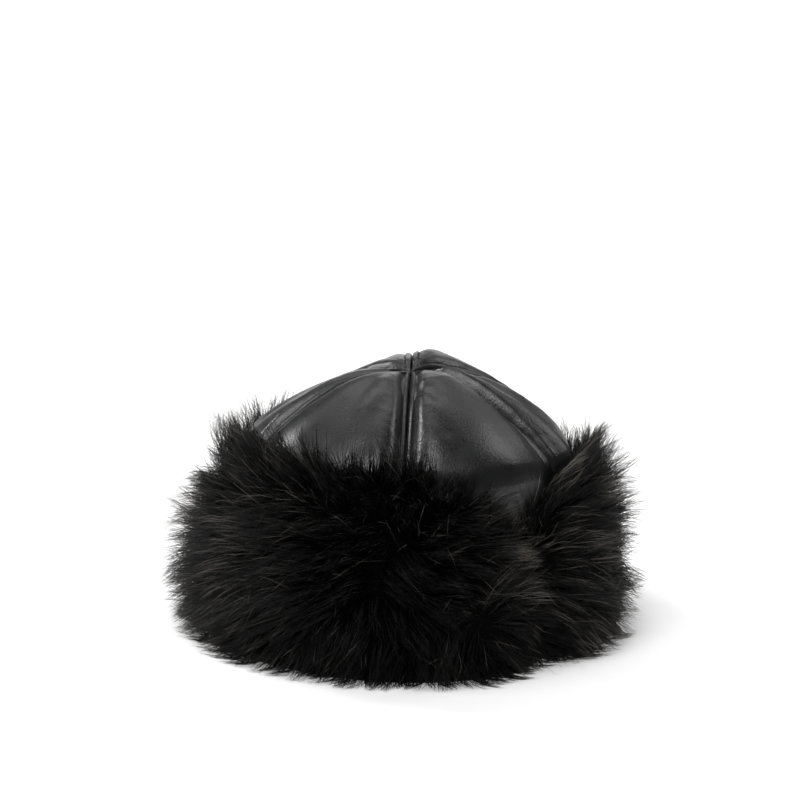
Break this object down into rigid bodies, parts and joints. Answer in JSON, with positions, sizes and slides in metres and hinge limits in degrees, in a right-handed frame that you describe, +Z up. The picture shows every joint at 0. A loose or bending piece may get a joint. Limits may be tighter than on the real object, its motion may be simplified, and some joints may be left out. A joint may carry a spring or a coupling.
{
  "type": "faux fur trimmed hat",
  "caption": "Soft winter hat with a puffed, panelled black leather crown and deep black faux fur flaps folded up all round it.",
  "frame": {"origin": "on the crown's middle line, at the level of the surface that the fur rests on", "axes": "+Z up, the hat's front towards -Y, +X towards the wearer's left"},
  "size_m": [0.298, 0.3034, 0.1665],
  "materials": {
    "leather": "smooth semi-gloss black leather with fine grain",
    "faux_fur": "deep soft black faux fur with warm brown-grey tips"
  },
  "bodies": {
    "root": {"crown_panel_front": "leather", "crown_panel_front_left": "leather", "crown_panel_back_left": "leather", "crown_panel_back": "leather", "crown_panel_back_right": "leather", "crown_panel_front_right": "leather", "front_flap": "faux_fur", "ear_flap_left": "faux_fur", "ear_flap_right": "faux_fur"}
  },
  "joints": []
}
